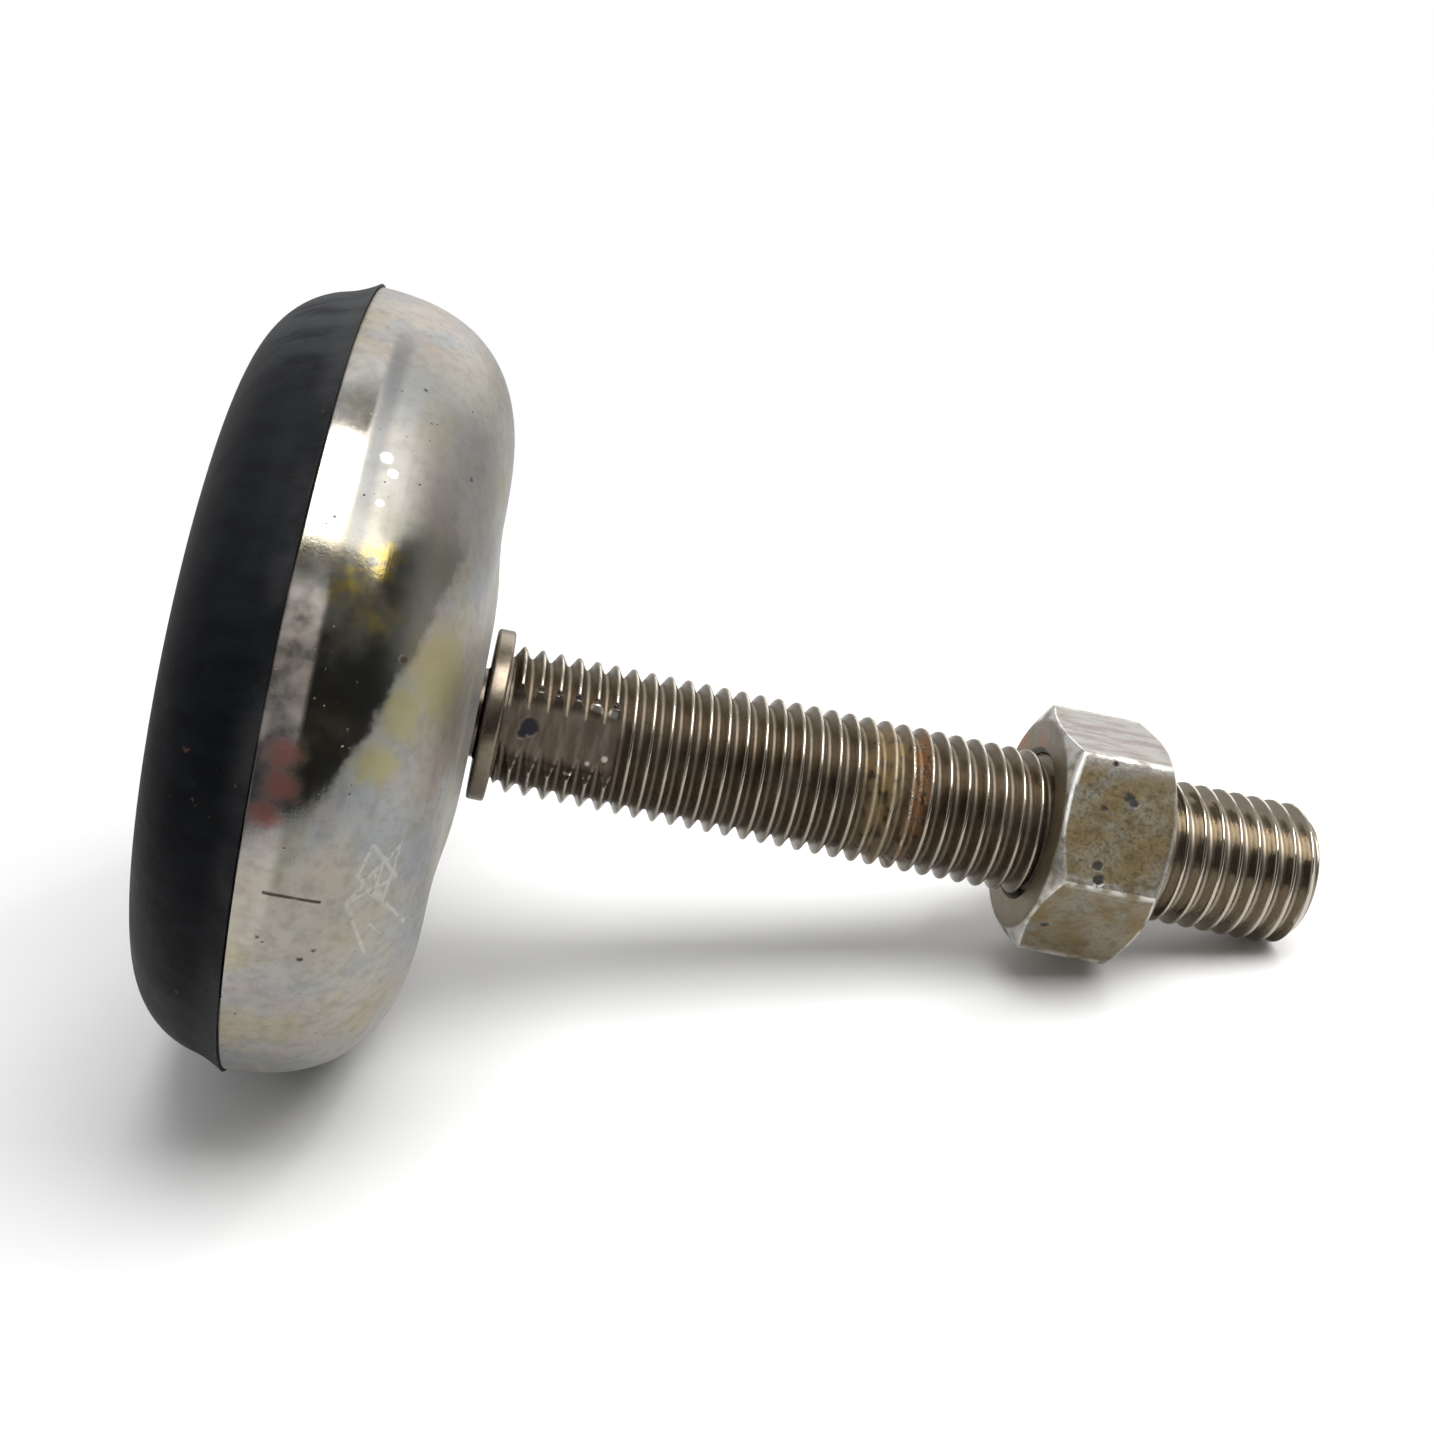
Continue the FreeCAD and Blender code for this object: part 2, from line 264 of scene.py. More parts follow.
class Graph:
    """One material's nodes. Places and lengths are in millimetres in the piece's own frame."""

    def __init__(self, name):
        self.material = bpy.data.materials.new(name)
        self.material.use_nodes = True
        self.tree = self.material.node_tree
        self.tree.nodes.clear()
        coordinates = self.add("ShaderNodeTexCoord")
        self.place = self.vector("SCALE", coordinates.outputs["Object"], scale=1 / MM)
        split = self.add("ShaderNodeSeparateXYZ")
        self.feed(split.inputs[0], self.place)
        self.x, self.y, self.z = split.outputs
        flat = self.vector("MULTIPLY", self.place, (1, 1, 0))
        self.radius = self.vector("LENGTH", flat)

    def add(self, kind, **settings):
        node = self.tree.nodes.new(kind)
        for key, value in settings.items():
            setattr(node, key, value)
        return node

    def feed(self, socket, value):
        if isinstance(value, bpy.types.NodeSocket):
            self.tree.links.new(value, socket)
        elif isinstance(value, tuple) and len(value) == 3 and socket.type == "RGBA":
            socket.default_value = (*value, 1)
        else:
            socket.default_value = value

    def math(self, operation, a, b=0.0, clamp=False):
        node = self.add("ShaderNodeMath", operation=operation, use_clamp=clamp)
        self.feed(node.inputs[0], a)
        self.feed(node.inputs[1], b)
        return node.outputs[0]

    def times(self, first, *others):
        """Product of several values."""
        for value in others:
            first = self.math("MULTIPLY", first, value)
        return first

    def plus(self, a, b):
        return self.math("ADD", a, b)

    def minus(self, a, b, clamp=False):
        return self.math("SUBTRACT", a, b, clamp)

    def vector(self, operation, a, b=None, scale=None):
        node = self.add("ShaderNodeVectorMath", operation=operation)
        self.feed(node.inputs[0], a)
        if b is not None:
            self.feed(node.inputs[1], b)
        if scale is not None:
            self.feed(node.inputs["Scale"], scale)
        scalar = operation in ("LENGTH", "DISTANCE", "DOT_PRODUCT")
        return node.outputs["Value" if scalar else "Vector"]

    def ramp(self, value, low, high, to_low=0.0, to_high=1.0):
        """Smooth step from to_low, at low, to to_high, at high."""
        node = self.add("ShaderNodeMapRange", interpolation_type="SMOOTHSTEP")
        for socket, given in zip(node.inputs, (value, low, high, to_low, to_high)):
            self.feed(socket, given)
        return node.outputs[0]

    def noise(self, size, detail=4.0, rough=0.55, stretch=(1, 1, 1), at=(0, 0, 0)):
        """Cloudy value about 0.5, with features about size across, before stretching."""
        moved = self.vector("ADD", self.vector("MULTIPLY", self.place, stretch), at)
        node = self.add("ShaderNodeTexNoise")
        self.feed(node.inputs["Vector"], moved)
        self.feed(node.inputs["Scale"], 1 / size)
        self.feed(node.inputs["Detail"], detail)
        self.feed(node.inputs["Roughness"], rough)
        return node.outputs[0]

    def patches(self, size, low, high, **noise_settings):
        """Noise pushed apart into patches: 0 under low, 1 over high."""
        return self.ramp(self.noise(size, **noise_settings), low, high)

    def mix(self, factor, a, b):
        node = self.add("ShaderNodeMix", data_type="RGBA")
        self.feed(node.inputs[0], factor)
        self.feed(node.inputs[6], a)
        self.feed(node.inputs[7], b)
        return node.outputs[2]

    def tint(self, colour, mask, strength, new):
        """Take a colour towards a new one where a mask is 1, by a share of the way."""
        return self.mix(self.times(mask, strength), colour, new)

    def spot(self, centre, radius, soft=0.5, wobble=0.0, wobble_size=2.0):
        """1 inside a ragged ball about a place, 0 outside it."""
        distance = self.vector("DISTANCE", self.place, centre)
        if wobble:
            swing = self.minus(self.noise(wobble_size), 0.5)
            distance = self.plus(distance, self.times(swing, 2 * wobble))
        return self.ramp(distance, radius + soft, max(radius - soft, 0.0))

    def stroke(self, a, b, width):
        """1 on the line between two places, 0 away from it."""
        start = Vector(a)
        run = Vector(b) - start
        offset = self.vector("SUBTRACT", self.place, tuple(start))
        along = self.vector("DOT_PRODUCT", offset, tuple(run / run.length_squared))
        along = self.math("ADD", along, 0.0, clamp=True)
        nearest = self.vector("SCALE", tuple(run), scale=along)
        distance = self.vector("DISTANCE", offset, nearest)
        return self.ramp(distance, width, 0.3 * width)

    def spots(self, *entries):
        """1 inside any of several spots, each given by what spot takes."""
        return self.most(*[self.spot(*entry) for entry in entries])

    def strokes(self, *entries):
        """1 on any of several strokes, each given by what stroke takes."""
        return self.most(*[self.stroke(*entry) for entry in entries])

    def most(self, *values):
        """The largest of several values."""
        best = values[0]
        for value in values[1:]:
            best = self.math("MAXIMUM", best, value)
        return best

    def bump(self, height, depth, normal=None):
        """Relief of the given depth in millimetres."""
        node = self.add("ShaderNodeBump")
        self.feed(node.inputs["Distance"], depth * MM)
        self.feed(node.inputs["Height"], height)
        if normal is not None:
            self.feed(node.inputs["Normal"], normal)
        return node.outputs[0]

    def surface(self, **inputs):
        """Finish with a Principled surface; input names have _ for a space."""
        output = self.add("ShaderNodeOutputMaterial")
        shader = self.add("ShaderNodeBsdfPrincipled")
        for key, value in inputs.items():
            self.feed(shader.inputs[key.replace("_", " ")], value)
        self.feed(output.inputs["Surface"], shader.outputs[0])
        return self.material


# Materials


def rubber_material():
    """Moulded black rubber: dusty at its edges, faintly streaked, a few brown specks, with painted light
    on its upper side.
    """
    g = Graph("sole_rubber")
    streaks = g.noise(3.0, detail=5, stretch=(1, 1, 0.12))
    cloud = g.noise(9.0, detail=4, at=(7, 3, 1))
    colour = g.mix(g.ramp(streaks, 0.35, 0.7), (0.0025, 0.003, 0.0045), (0.006, 0.007, 0.009))
    edge = g.most(g.ramp(g.z, 9.5, 13.0), g.ramp(g.z, 6.0, 0.0))
    dust = g.times(edge, g.ramp(cloud, 0.35, 0.75))
    colour = g.tint(colour, dust, 0.5, (0.055, 0.055, 0.056))
    # Painted light: the upper side of the sole is painted lighter along its streaks, where the grazing
    # light falls.
    upper = g.times(g.ramp(g.x, -34.0, -46.0), g.ramp(streaks, 0.3, 0.6))
    colour = g.tint(colour, upper, 0.4, (0.060, 0.064, 0.068))
    specks = g.patches(1.6, 0.70, 0.76, detail=2, at=(11, 5, 3))
    where = g.patches(14.0, 0.5, 0.62, detail=2, at=(3, 9, 4))
    specks = g.times(specks, where)
    colour = g.tint(colour, specks, 0.6, (0.10, 0.055, 0.03))
    grain = g.noise(0.35, detail=6)
    relief = g.plus(g.times(grain, 0.4), streaks)
    return g.surface(
        Base_Color=colour,
        Roughness=g.ramp(cloud, 0.2, 0.8, 0.42, 0.6),
        Specular_IOR_Level=g.ramp(g.x, -25.0, 5.0, 0.14, 0.06),
        Normal=g.bump(relief, 0.12),
    )


def dome_tarnish(g):
    """Colour of the nickel: pink, straw and blue in soft patches under a fine brown mottle."""
    colour = g.mix(g.patches(15.0, 0.4, 0.62), (0.36, 0.34, 0.295), (0.31, 0.315, 0.315))
    pink = g.patches(9.0, 0.48, 0.66, detail=5, at=(31, 8, 2))
    colour = g.tint(colour, pink, 0.55, (0.36, 0.29, 0.25))
    straw = g.patches(11.0, 0.5, 0.68, detail=5, at=(5, 41, 17))
    colour = g.tint(colour, straw, 0.6, (0.35, 0.31, 0.20))
    blue = g.patches(7.0, 0.52, 0.68, detail=5, at=(15, 22, 9))
    colour = g.tint(colour, blue, 0.5, (0.25, 0.275, 0.30))
    mottle = g.noise(1.6, detail=7, rough=0.62)
    return g.mix(g.ramp(mottle, 0.3, 0.6, 0.35, 0.0), colour, (0.15, 0.14, 0.115))


def dome_stains(g):
    """Broken yellow stains on the near side."""
    stains = g.spots(
        ((-19.2, -46.5, 22.2), 2.0, 1.2, 1.6),
        ((-16.3, -48.4, 19.6), 2.2, 1.4, 1.8),
        ((-13.5, -48.3, 22.7), 2.0, 1.4, 1.8),
    )
    return g.times(stains, g.ramp(g.noise(1.8, detail=5), 0.35, 0.6))


def dome_dark_reflection(g):
    """Painted dark reflection low on the near side, with a ragged slanting edge."""
    edge = g.plus(g.z, g.times(g.x, 0.33))
    edge = g.plus(edge, g.times(g.noise(5.0, detail=5, at=(6, 6, 6)), 5.0))
    return g.times(g.ramp(edge, 27.0, 25.6), g.ramp(g.y, -30.0, -38.0), g.ramp(g.x, -25.0, -19.0))


def dome_beige(g):
    """Beige haze on the narrow strip above the rim."""
    across = g.times(g.ramp(g.x, -17.0, -13.5), g.ramp(g.x, 5.0, 0.0))
    low_front = g.times(g.ramp(g.z, 17.9, 17.0), g.ramp(g.y, -30.0, -38.0))
    return g.times(across, low_front, g.ramp(g.noise(3.5, detail=3, at=(4, 9, 9)), 0.2, 0.75))


def dome_scratches(g):
    """A random tangle of short scratches, broken up along their length."""
    tangle = g.strokes(
        ((11.2, -43.2, 30.0), (14.4, -44.9, 27.7), 0.42),
        ((14.4, -44.9, 27.7), (18.4, -45.2, 25.5), 0.45),
        ((11.4, -46.3, 27.1), (15.0, -46.0, 26.1), 0.35),
        ((11.4, -46.2, 27.2), (15.1, -41.8, 30.2), 0.45),
        ((15.0, -46.0, 26.1), (17.9, -42.0, 29.2), 0.45),
        ((15.1, -41.8, 30.2), (16.8, -44.2, 27.5), 0.35),
        ((16.8, -44.2, 27.5), (19.8, -38.6, 30.8), 0.4),
        ((18.4, -45.2, 25.5), (21.8, -42.7, 27.0), 0.42),
        ((21.8, -42.7, 27.0), (25.0, -39.3, 28.3), 0.38),
        ((18.2, -41.8, 29.2), (21.4, -35.3, 31.9), 0.4),
        ((12.6, -44.4, 28.6), (17.0, -43.6, 28.0), 0.3),
        ((21.0, -41.4, 28.2), (22.4, -39.0, 29.4), 0.3),
        ((11.2, -43.2, 30.0), (17.9, -42.0, 29.2), 0.4),
        ((16.6, -44.2, 27.6), (18.4, -45.2, 25.5), 0.4),
        ((14.4, -44.9, 27.7), (17.9, -42.0, 29.2), 0.35),
    )
    return g.times(tangle, g.ramp(g.noise(0.9, detail=3, at=(2, 2, 8)), 0.36, 0.5))


def dome_dark_marks(g):
    """A hairline crack of dirt, fine pits in a few areas, and single dark specks."""
    hairline = g.strokes(
        ((18.2, -48.1, 16.6), (18.4, -47.6, 20.0), 0.28),
        ((18.4, -47.6, 20.0), (18.5, -46.6, 22.6), 0.28),
    )
    pits = g.patches(0.5, 0.80, 0.86, detail=0, at=(1, 6, 2))
    pits = g.times(pits, g.patches(8.0, 0.5, 0.6, detail=2, at=(2, 1, 19)))
    specks = g.spots(
        ((-38.4, -32.3, 22.5), 0.22, 0.2, 0.2, 0.8),
        ((-29.5, -34.2, 29.6), 0.28, 0.2, 0.25, 0.8),
        ((-9.3, -47.3, 26.4), 0.4, 0.25, 0.3, 0.8),
        ((24.7, -43.6, 22.8), 0.24, 0.2, 0.4, 0.8),
        ((26.1, -43.3, 21.5), 0.24, 0.2, 0.4, 0.8),
        ((23.9, -45.6, 16.6), 0.2, 0.2, 0.3, 0.8),
    )
    return g.most(hairline, pits, specks)


def dome_material():
    """Polished nickel, hazed and tarnished in soft patches, stained, scratched and pitted, with a painted
    dark reflection, painted shade and painted glints on its near side.
    """
    g = Graph("dome_nickel")
    colour = dome_tarnish(g)
    olive = g.spots(
        ((-7.8, -42.9, 30.7), 5.0, 3.0, 3.0),
        ((-3.5, -47.0, 27.6), 3.0, 1.6, 2.0),
        ((2.2, -48.0, 25.8), 2.4, 1.6, 2.0),
    )
    colour = g.tint(colour, olive, 0.7, (0.36, 0.32, 0.14))
    # Painted reflection: a dark band low on the near side is painted in above the rim band; the same area
    # is also made glossy below.
    dark_reflection = dome_dark_reflection(g)
    low_dark_reflection = g.times(dark_reflection, g.ramp(g.z, 16.6, 18.0))
    colour = g.tint(colour, low_dark_reflection, 0.55, (0.10, 0.098, 0.065))
    # Painted shade: the upper near shoulder, where the key light's reflection falls, is painted darker to
    # tone that reflection down.
    key_reflection_shade = g.times(g.ramp(g.x, -14.0, -22.0), g.ramp(g.y, -20.0, -32.0), g.ramp(g.z, 17.6, 18.8))
    colour = g.tint(colour, key_reflection_shade, 0.5, (0.15, 0.15, 0.145))
    beige = dome_beige(g)
    colour = g.tint(colour, beige, 0.8, (0.42, 0.36, 0.32))
    colour = g.tint(colour, dome_stains(g), 0.75, (0.46, 0.34, 0.07))
    red = g.spots(
        ((2.5, -51.4, 16.0), 1.8, 1.3, 1.4),
        ((6.0, -51.1, 16.2), 2.0, 1.3, 1.4),
        ((9.2, -50.7, 15.4), 1.6, 1.3, 1.4),
    )
    colour = g.tint(colour, red, 0.85, (0.25, 0.085, 0.065))
    # Painted shade: a dark band just above the rim band, on the upper near side beside its bright strip.
    line = g.times(g.ramp(g.z, 17.2, 18.2), g.ramp(g.z, 20.5, 19.2))
    line = g.times(line, g.times(g.ramp(g.x, -18.0, -22.0), g.ramp(g.y, -22.0, -30.0)))
    colour = g.tint(colour, line, 0.55, (0.10, 0.105, 0.11))
    # Painted highlights: three small near-white glints on the upper near side; they are also made glossy
    # below.
    spark = g.spots(
        ((-29.9, -41.2, 20.2), 0.5, 0.4, 0.5, 1.2),
        ((-28.4, -41.9, 21.2), 0.4, 0.35, 0.4, 1.2),
        ((-25.0, -44.2, 20.6), 0.25, 0.25, 0.3, 1.2),
    )
    colour = g.mix(spark, colour, (0.95, 0.95, 0.94))
    scratches = dome_scratches(g)
    colour = g.tint(colour, scratches, 0.6, (0.66, 0.64, 0.58))
    dark = dome_dark_marks(g)
    colour = g.tint(colour, dark, 0.85, (0.05, 0.04, 0.03))

    streaks = g.add("ShaderNodeTexNoise")
    g.feed(streaks.inputs["Vector"], g.vector("MULTIPLY", g.place, (0.05, 0.05, 2.0)))
    g.feed(streaks.inputs["Scale"], 1.2)
    g.feed(streaks.inputs["Detail"], 6.0)
    streaks = streaks.outputs[0]
    haze = g.patches(12.0, 0.35, 0.7, detail=5, at=(9, 9, 30))
    strip_reach = g.times(g.ramp(g.x, -40.0, -35.0), g.ramp(g.x, 12.0, 8.0))
    strip = g.times(g.ramp(g.z, 18.2, 17.2), strip_reach)
    polished = g.minus(g.most(strip, dark_reflection, spark), g.times(beige, 0.8), clamp=True)
    rough = g.plus(0.44, g.times(haze, 0.12))
    rough = g.minus(rough, g.times(polished, 0.36))
    rough = g.plus(rough, g.times(g.most(scratches, dark), 0.25))
    rough = g.plus(rough, g.times(streaks, 0.05))

    normal = g.bump(g.noise(10.0, detail=1), 0.12)
    grain = g.noise(0.5, detail=5)
    normal = g.bump(g.plus(grain, g.times(streaks, 1.5)), 0.006, normal)
    normal = g.bump(g.minus(1.0, g.most(dark, g.times(scratches, 0.4))), 0.05, normal)
    metal = g.ramp(haze, 0.0, 1.0, 0.97, 0.8)
    metal = g.minus(metal, g.times(g.most(beige, red), 0.45))
    return g.surface(Base_Color=colour, Metallic=metal, Roughness=rough, Normal=normal)


def flat_pits(g):
    """Dark pits and a broken dark line on the near wrench flat."""
    line = g.stroke((-5.5, -FLAT_DISTANCE, 42.5), (-5.2, -FLAT_DISTANCE, 54.0), 0.55)
    return g.most(
        g.spot((-0.3, -FLAT_DISTANCE, 42.7), 1.2, 0.3, 0.35, 1.0),
        g.spot((0.6, -FLAT_DISTANCE, 41.9), 0.7, 0.3, 0.3, 1.0),
        g.times(line, g.patches(0.8, 0.4, 0.5)),
    )


def flat_scuffs(g):
    """Bright scuffs on the near wrench flat."""
    return g.most(
        g.stroke((4.6, -FLAT_DISTANCE, 47.2), (4.9, -FLAT_DISTANCE, 50.8), 0.25),
        g.stroke((-4.6, -FLAT_DISTANCE, 50.2), (-4.1, -FLAT_DISTANCE, 53.2), 0.75),
        g.spot((1.9, -FLAT_DISTANCE, 53.1), 0.4, 0.15),
        g.spot((2.9, -FLAT_DISTANCE, 51.0), 0.3, 0.15),
    )


def spindle_material():
    """Dulled warm nickel: painted shade in the roots and on the lower side, crests worn bright and
    painted as highlights, rust in two places, scuffed flats.
    """
    g = Graph("spindle_nickel")
    cloud = g.noise(6.0, detail=5)
    colour = g.mix(g.ramp(cloud, 0.35, 0.65), (0.185, 0.15, 0.108), (0.235, 0.20, 0.155))
    fine = g.noise(0.7, detail=6, rough=0.65)
    colour = g.mix(g.ramp(fine, 0.3, 0.55, 0.4, 0.0), colour, (0.10, 0.078, 0.055))
    in_thread = g.ramp(g.z, COLLAR_TOP, COLLAR_TOP + 0.3)
    # Painted shade: the thread roots are painted darker.
    root = g.times(g.ramp(g.radius, 8.95, 8.4), in_thread)
    colour = g.tint(colour, root, 0.25, (0.09, 0.07, 0.05))
    # The crests are painted lighter: partly wear, partly a painted highlight along each crest.
    crest = g.times(g.ramp(g.radius, 9.62, 9.8), in_thread)
    colour = g.tint(colour, crest, 0.6, (0.60, 0.55, 0.46))
    front = g.times(g.ramp(g.y, 2.0, -5.0), g.ramp(g.noise(1.8, detail=4), 0.36, 0.58))
    yellow = g.times(g.ramp(g.z, 86.0, 89.0), g.ramp(g.z, 93.5, 91.5), front)
    colour = g.tint(colour, yellow, 0.55, (0.30, 0.20, 0.06))
    orange = g.times(g.ramp(g.z, 92.8, 93.6), g.ramp(g.z, 96.2, 95.2), front)
    colour = g.tint(colour, orange, 0.8, (0.22, 0.095, 0.025))
    freckles = g.patches(1.1, 0.66, 0.72, detail=3, at=(5, 5, 5))
    freckles = g.times(freckles, g.ramp(g.z, 60.0, 66.0))
    colour = g.tint(colour, freckles, 0.55, (0.33, 0.19, 0.08))
    # Painted shade: the lower side, towards the table, is painted darker below the nut.
    painted_lower_shade = g.times(g.ramp(g.x, -2.0, 7.0), g.ramp(g.z, NUT_TOP, NUT_BOTTOM))
    colour = g.tint(colour, painted_lower_shade, 0.5, (0.085, 0.068, 0.048))
    free_end = g.ramp(g.z, NUT_TOP - 3.0, NUT_TOP + 1.0)
    colour = g.tint(colour, free_end, 0.45, (0.42, 0.37, 0.30))
    side = g.math("ABSOLUTE", g.y)
    on_flat = g.times(
        g.ramp(side, FLAT_DISTANCE + 0.03, FLAT_DISTANCE + 0.01),
        g.ramp(side, FLAT_DISTANCE - 0.03, FLAT_DISTANCE - 0.01),
        g.ramp(g.z, FLATS_TOP + 0.02, FLATS_TOP - 0.02),
    )
    brushed = g.noise(1.2, detail=5, stretch=(0.3, 1, 1.6))
    flat_colour = g.mix(g.ramp(brushed, 0.35, 0.65), (0.15, 0.118, 0.088), (0.23, 0.19, 0.155))
    colour = g.mix(on_flat, colour, flat_colour)
    pit = flat_pits(g)
    colour = g.mix(pit, colour, (0.018, 0.016, 0.022))
    colour = g.tint(colour, flat_scuffs(g), 0.8, (0.85, 0.82, 0.74))
    rough = g.ramp(cloud, 0.3, 0.7, 0.24, 0.36)
    rough = g.minus(rough, g.times(free_end, 0.14))
    rough = g.plus(rough, g.times(g.most(root, yellow, orange, pit), 0.25))
    rough = g.minus(rough, g.times(crest, 0.06))
    normal = g.bump(g.noise(4.0, detail=2), 0.06)
    normal = g.bump(fine, 0.012, normal)
    normal = g.bump(g.minus(1.0, g.most(pit, orange)), 0.15, normal)
    metal = g.minus(0.96, g.times(g.most(orange, yellow, pit), 0.6))
    return g.surface(Base_Color=colour, Metallic=metal, Roughness=rough, Normal=normal)


def nut_material():
    """Dull zinc: olive and grey mottling, dark pits, worn bright edges, rust by the bore, painted light
    on the upper faces, a painted highlight on one worn edge, painted shade in the bore.
    """
    g = Graph("nut_zinc")
    broad = g.patches(5.0, 0.4, 0.62, detail=5)
    colour = g.mix(broad, (0.185, 0.14, 0.068), (0.23, 0.20, 0.14))
    blue = g.patches(3.4, 0.52, 0.66, detail=5, at=(8, 1, 4))
    colour = g.tint(colour, blue, 0.5, (0.21, 0.23, 0.23))
    brown = g.patches(2.4, 0.5, 0.66, detail=6, at=(21, 3, 6))
    colour = g.tint(colour, brown, 0.6, (0.135, 0.098, 0.05))
    fine = g.noise(0.5, detail=7, rough=0.7)
    colour = g.mix(g.ramp(fine, 0.32, 0.56, 0.6, 0.0), colour, (0.075, 0.06, 0.04))
    # Painted light: the upper faces, towards the light, are painted pale and brushed.
    upper = g.ramp(g.x, -9.0, -13.2)
    brushed = g.noise(1.6, detail=6, stretch=(1, 1, 0.3), at=(4, 4, 4))
    pale = g.mix(g.ramp(brushed, 0.38, 0.6), (0.29, 0.25, 0.235), (0.42, 0.41, 0.40))
    colour = g.tint(colour, upper, 0.75, pale)
    near_rim = g.math("MINIMUM", g.minus(g.z, NUT_BOTTOM), g.minus(NUT_TOP, g.z))
    cone = g.times(g.minus(g.radius, NUT_BEARING), FLANK_SLOPE)
    from_edge = g.math("ABSOLUTE", g.minus(near_rim, cone))
    on_chamfer = g.times(g.ramp(from_edge, 0.06, 0.02), g.ramp(g.radius, 14.2, 14.5))
    chamfer_colour = g.mix(broad, (0.20, 0.195, 0.165), (0.27, 0.265, 0.24))
    colour = g.tint(colour, on_chamfer, 0.6, chamfer_colour)
    rubbed = g.ramp(g.noise(2.6, detail=5, at=(6, 2, 2)), 0.34, 0.58)
    edge = g.most(g.ramp(from_edge, 0.42, 0.08), g.ramp(g.radius, 16.35, 16.9))
    edge = g.times(edge, g.ramp(g.radius, 14.35, 14.7), rubbed)
    colour = g.tint(colour, edge, 0.75, (0.70, 0.68, 0.63))
    # A worn edge by the front face's upper corner, painted near-white as its highlight.
    worn = g.strokes(
        ((-11.6, -12.3, 113.4), (-8.0, -13.2, 112.7), 0.75),
        ((-8.0, -13.2, 112.7), (-1.0, -15.0, 112.2), 0.4),
    )
    colour = g.tint(colour, worn, 0.9, (0.85, 0.84, 0.80))
    face = g.times(g.ramp(near_rim, 0.03, 0.0), g.ramp(g.radius, 14.6, 14.3))
    colour = g.tint(colour, face, 0.6, (0.17, 0.14, 0.09))
    rust = g.spots(
        ((-10.3, 8.5, NUT_BOTTOM), 2.0, 1.2, 1.2),
        ((-11.5, 0.7, NUT_BOTTOM), 1.2, 0.9, 0.8),
    )
    colour = g.tint(colour, rust, 0.8, (0.30, 0.12, 0.035))
    # Painted shade: the countersinks and the bore are painted dark.
    bore = g.ramp(g.radius, 10.7, 10.2)
    colour = g.tint(colour, bore, 0.8, (0.09, 0.07, 0.05))
    pits = g.spots(
        ((-7.2, -13.3, 120.3), 0.62, 0.25, 0.5, 0.8),
        ((-6.6, -13.5, 121.0), 0.5, 0.2, 0.4, 0.8),
        ((-5.3, -13.8, 117.1), 0.42, 0.2, 0.3, 0.8),
        ((1.9, -15.7, 117.4), 0.6, 0.2, 0.4, 0.8),
        ((3.6, -16.2, 117.7), 0.75, 0.25, 0.5, 0.8),
        ((11.8, -9.0, 114.7), 0.5, 0.25, 0.4, 0.8),
        ((-11.2, -12.3, 117.9), 0.35, 0.15, 0.2, 0.6),
    )
    crumbs = g.patches(0.55, 0.72, 0.77, detail=2, at=(9, 9, 1))
    dark = g.most(pits, g.times(crumbs, 0.7))
    colour = g.mix(dark, colour, (0.02, 0.017, 0.014))
    rough = g.ramp(fine, 0.3, 0.7, 0.42, 0.58)
    rough = g.minus(rough, g.times(edge, 0.2))
    normal = g.bump(g.noise(3.0, detail=3), 0.08)
    normal = g.bump(g.plus(fine, g.times(brushed, 0.5)), 0.035, normal)
    normal = g.bump(g.minus(1.0, dark), 0.25, normal)
    metal = g.minus(0.82, g.times(g.most(dark, rust), 0.7))
    return g.surface(Base_Color=colour, Metallic=metal, Roughness=rough, Normal=normal)


def inner_steel_material():
    """Plain zinc-plated steel with turning marks, for the pieces inside the dome."""
    g = Graph("inner_steel")
    rings = g.add("ShaderNodeTexNoise", noise_dimensions="1D")
    g.feed(rings.inputs["W"], g.radius)
    g.feed(rings.inputs["Scale"], 2.5)
    g.feed(rings.inputs["Detail"], 5.0)
    cloud = g.noise(8.0)
    colour = g.mix(g.ramp(cloud, 0.3, 0.7), (0.46, 0.47, 0.48), (0.58, 0.57, 0.55))
    return g.surface(
        Base_Color=colour,
        Metallic=0.95,
        Roughness=g.ramp(rings.outputs[0], 0.3, 0.7, 0.25, 0.42),
        Normal=g.bump(rings.outputs[0], 0.01),
    )


def acetal_material():
    """Natural acetal, slightly greasy, for the two ball seats."""
    g = Graph("seat_acetal")
    cloud = g.noise(5.0)
    colour = g.mix(g.ramp(cloud, 0.35, 0.7), (0.76, 0.75, 0.70), (0.84, 0.83, 0.79))
    return g.surface(
        Base_Color=colour,
        Roughness=g.ramp(cloud, 0.3, 0.7, 0.3, 0.45),
        Subsurface_Weight=0.1,
        Subsurface_Radius=(0.002, 0.002, 0.0015),
        Normal=g.bump(g.noise(0.6), 0.01),
    )


